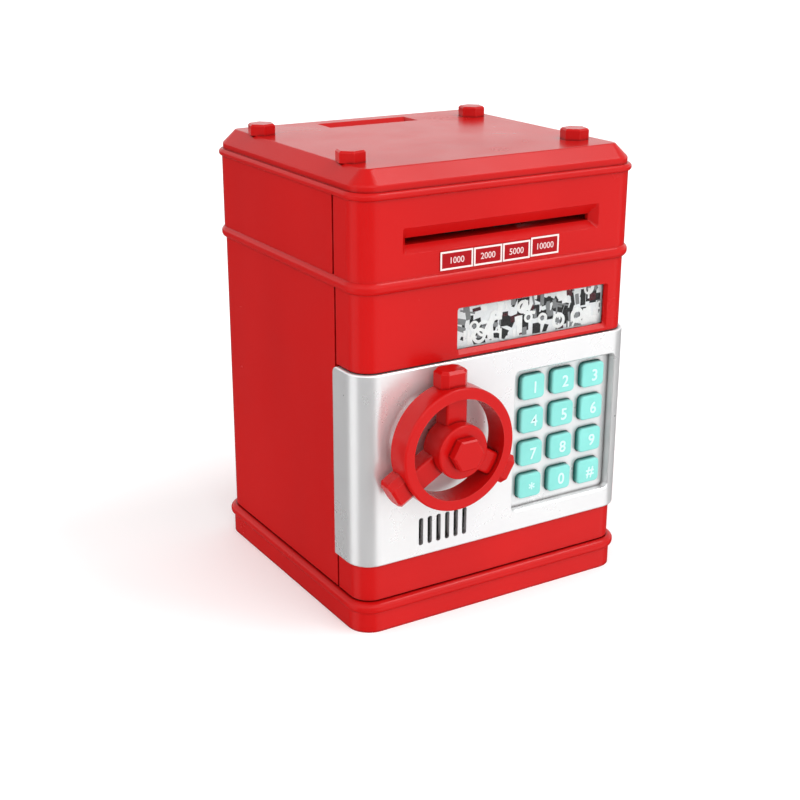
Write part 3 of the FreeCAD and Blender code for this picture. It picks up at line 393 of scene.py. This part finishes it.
def key_digits():
    """A printed digit on each key cap."""
    for name in [n for n in nodes if n.startswith("key_") and n != "key_membrane"]:
        low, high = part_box(name)
        mark = KEY_MARKS.get(name, name[4:])
        centre = (low + high) / 2
        drop = DIGIT_DROP + (STAR_DROP if mark == "*" else 0.0)
        origin = (centre.x + DIGIT_SHIFT, low.y - 0.00002, centre.z - drop)
        text_mesh(name + "_mark", mark, DIGIT_HEIGHT, 0.00012, DIGIT_INK, name, origin,
                  bold=0.00006)


# ---------------------------------------------------------------- value labels
LABEL_WORDS = ["1000", "2000", "5000", "10000"]
LABEL_BORDER = 0.0007
LABEL_RISE = 0.00010        # the frame stands this far in front of the label's face
LABEL_SINK = 0.00005        # and reaches this far behind it
LABEL_FIGURE_HEIGHT = 0.0025


def value_label_print():
    """Pale frame and small numerals on each of the four red labels."""
    solids = node_islands("value_labels")
    for index, (low, high) in enumerate(solids):
        face = low.y
        edge = LABEL_BORDER
        frame_mesh = bmesh.new()
        for x0, x1, z0, z1 in (
                (low.x, high.x, high.z - edge, high.z), (low.x, high.x, low.z, low.z + edge),
                (low.x, low.x + edge, low.z + edge, high.z - edge),
                (high.x - edge, high.x, low.z + edge, high.z - edge)):
            bevelled_box(frame_mesh, (x0, face - LABEL_RISE, z0), (x1, face + LABEL_SINK, z1),
                         0.00003)
        mesh_piece(f"value_label_{index}_frame", frame_mesh, LABEL_EDGE, "case")
        centre = (low + high) / 2
        words = LABEL_WORDS[index]
        origin = (centre.x, face - 0.00003, centre.z - 0.0002)
        text_mesh(f"value_label_{index}_figures", words, LABEL_FIGURE_HEIGHT, 0.00008,
                  LABEL_FIGURE, "case", origin)


def node_islands(name):
    """(lowest, highest) corners of each separate solid in a CAD node, from left to right."""
    mesh = nodes[name].data
    bm = bmesh.new()
    bm.from_mesh(mesh)
    bmesh.ops.remove_doubles(bm, verts=bm.verts, dist=1e-6)
    left = set(bm.verts)
    boxes = []
    while left:
        stack = [left.pop()]
        group = []
        while stack:
            vert = stack.pop()
            group.append(vert.co.copy())
            for edge in vert.link_edges:
                other = edge.other_vert(vert)
                if other in left:
                    left.remove(other)
                    stack.append(other)
        low = Vector(min(c[i] for c in group) for i in range(3))
        high = Vector(max(c[i] for c in group) for i in range(3))
        boxes.append((low, high))
    bm.free()
    return sorted(boxes, key=lambda pair: pair[0].x)


# ---------------------------------------------------------------- window print
def window_print():
    """Abstract machine-like pattern: discs, rings and bars in black, maroon, grey and white."""
    rng = random.Random(7)
    low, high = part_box("window_card")
    side_margin, foot_margin, top_margin = 0.0022, 0.0018, 0.0022
    x0, x1 = low.x + side_margin, high.x - side_margin
    z0, z1 = low.z + foot_margin, high.z - top_margin
    face = low.y
    layers = {"dark": bmesh.new(), "grey": bmesh.new(), "white": bmesh.new(), "maroon": bmesh.new()}
    heights = {"dark": 0.00006, "maroon": 0.00010, "grey": 0.00016, "white": 0.00022}

    def bar(kind, x, z, w, h, angle):
        bm = layers[kind]
        before = len(bm.verts)
        top = face - heights[kind] - rng.uniform(0, 0.00003)
        bevelled_box(bm, (-w / 2, top, -h / 2), (w / 2, face, h / 2), 0.00002, 1)
        bm.verts.ensure_lookup_table()
        for vert in bm.verts[before:]:
            c, s = math.cos(angle), math.sin(angle)
            px, pz = vert.co.x * c - vert.co.z * s, vert.co.x * s + vert.co.z * c
            vert.co.x = min(max(x + px, x0), x1)
            vert.co.z = min(max(z + pz, z0), z1)

    def disc(kind, x, z, outer, inner=0.0):
        bm = layers[kind]
        top = face - heights[kind] - rng.uniform(0, 0.00003)
        count = 28
        rings = []
        for r, y in ((outer, face), (outer, top), (inner, top), (inner, face)):
            ring = []
            for i in range(count):
                a = math.tau * i / count
                px = min(max(x + r * math.cos(a), x0), x1)
                pz = min(max(z + r * math.sin(a), z0), z1)
                ring.append(bm.verts.new((px, y, pz)))
            rings.append(ring)
        for a, b in ((0, 1), (1, 2), (2, 3)):
            for i in range(count):
                j = (i + 1) % count
                bm.faces.new((rings[a][i], rings[b][i], rings[b][j], rings[a][j]))

    def spot():
        return rng.uniform(x0, x1), rng.uniform(z0, z1)

    for _ in range(46):
        bar("dark", *spot(), rng.uniform(0.0012, 0.006), rng.uniform(0.002, 0.007),
            rng.choice((0, 0.2, -0.3, 1.1)))
    for _ in range(12):
        bar("maroon", *spot(), rng.uniform(0.001, 0.004), rng.uniform(0.001, 0.003), 0.1)
    for _ in range(34):
        bar("grey", *spot(), rng.uniform(0.0006, 0.0024), rng.uniform(0.002, 0.008),
            rng.choice((0, 0, 0.15, 1.3)))
    for _ in range(13):
        x, z = spot()
        r = rng.uniform(0.0016, 0.0034)
        disc("white", x, z, r, r * rng.uniform(0.45, 0.7))
        disc("grey", x, z, r * 0.36)
    for _ in range(42):
        bar("white", *spot(), rng.uniform(0.0005, 0.0030), rng.uniform(0.0016, 0.0075),
            rng.choice((0, 0, 0.1, -0.5, 1.45)))
    paints = {"dark": INK_DARK, "grey": INK_GREY, "white": INK_WHITE, "maroon": INK_MAROON}
    for kind, bm in layers.items():
        mesh_piece("window_print_" + kind, bm, paints[kind], "case", smooth=False)


# ---------------------------------------------------------------- stage
def studio():
    """Wide pale floor that glows a little to keep shadows light, a dome and two soft suns."""
    bpy.ops.mesh.primitive_plane_add(size=80.0, location=(0, 0, 0))
    floor = bpy.context.object
    floor.name = "floor"
    m = Shader("floor_paper", Specular_IOR_Level=0.1, Roughness=0.9, Emission_Strength=0.14,
               Emission_Color=(1.0, 1.0, 1.0, 1.0))
    m.colour(m.mixed(m.noise(3.0, 2.0), (0.90, 0.90, 0.90), (0.92, 0.92, 0.92)))
    paint(floor, m.material)
    floor.visible_glossy = False

    studio_world()
    sun("key_light", (0.16, -0.84, 0.52), 0.95, 60)
    sun("top_light", (0.49, -0.34, 0.80), 0.9, 24)


def sun(name, towards, strength, width):
    """Soft distant light; towards points at it and width is its angle in degrees."""
    light = bpy.data.lights.new(name, "SUN")
    light.energy = strength
    light.angle = math.radians(width)
    holder = bpy.data.objects.new(name, light)
    scene.collection.objects.link(holder)
    holder.rotation_euler = Vector(towards).to_track_quat("Z", "Y").to_euler()


def studio_world():
    """Pale dome, brightest at the horizon, with a soft fill from the left.

    Below the horizon, where only reflections look, it is dark but for two pale cards.
    """
    world = bpy.data.worlds.new("studio")
    world.use_nodes = True
    scene.world = world
    tree = world.node_tree
    direction = tree.nodes.new("ShaderNodeTexCoord").outputs["Generated"]

    def card(towards, edge, full, level):
        """Soft patch of light round one direction."""
        dot = tree.nodes.new("ShaderNodeVectorMath")
        dot.operation = "DOT_PRODUCT"
        dot.inputs[1].default_value = towards
        tree.links.new(direction, dot.inputs[0])
        ramp = tree.nodes.new("ShaderNodeMapRange")
        ramp.interpolation_type = "SMOOTHSTEP"
        for name, value in (("From Min", edge), ("From Max", full), ("To Max", level)):
            ramp.inputs[name].default_value = value
        tree.links.new(dot.outputs["Value"], ramp.inputs["Value"])
        return ramp.outputs["Result"]

    def plus(a, b):
        made = tree.nodes.new("ShaderNodeMath")
        for slot, value in zip(made.inputs, (a, b)):
            if isinstance(value, float):
                slot.default_value = value
            else:
                tree.links.new(value, slot)
        return made.outputs[0]

    left_card = card((-0.93, 0.16, -0.33), 0.89, 0.985, 0.82)
    right_card = card((0.52, -0.79, -0.33), 0.78, 0.97, 0.95)
    below = plus(plus(left_card, right_card), 0.12)
    zenith = card((0.0, 0.0, 1.0), 0.0, 1.0, -0.42)
    left_fill = card((-0.86, -0.32, 0.40), 0.45, 0.98, 0.55)
    above = plus(plus(zenith, left_fill), 1.06)
    horizon = card((0.0, 0.0, 1.0), -0.06, -0.01, 1.0)
    blend = tree.nodes.new("ShaderNodeMix")
    tree.links.new(horizon, blend.inputs[0])
    tree.links.new(below, blend.inputs[2])
    tree.links.new(above, blend.inputs[3])
    sky = tree.nodes["Background"]
    sky.inputs["Color"].default_value = (1.0, 1.0, 1.0, 1.0)
    tree.links.new(blend.outputs[0], sky.inputs["Strength"])


CAMERA_AZIMUTH = math.radians(-31.37)
CAMERA_ELEVATION = math.radians(19.69)
CAMERA_ROLL = math.radians(0.17)
CAMERA_PLACE = (-0.30758, -0.48922, 0.27609)
CAMERA_LENS = 62.56
SENSOR_WIDTH = 36.0


def camera():
    data = bpy.data.cameras.new("camera")
    data.lens = CAMERA_LENS
    data.sensor_width = SENSOR_WIDTH
    data.clip_start, data.clip_end = 0.01, 50.0
    holder = bpy.data.objects.new("camera", data)
    scene.collection.objects.link(holder)
    back = Vector((math.sin(CAMERA_AZIMUTH) * math.cos(CAMERA_ELEVATION),
                   -math.cos(CAMERA_AZIMUTH) * math.cos(CAMERA_ELEVATION),
                   math.sin(CAMERA_ELEVATION)))
    holder.rotation_mode = "QUATERNION"
    turn = (-back).to_track_quat("-Z", "Y")
    holder.rotation_quaternion = turn @ Quaternion((0, 0, 1), CAMERA_ROLL)
    holder.location = CAMERA_PLACE
    scene.camera = holder


def main():
    scene.view_settings.view_transform = "Standard"
    paint_cad_nodes()
    key_digits()
    value_label_print()
    window_print()
    studio()
    camera()


main()
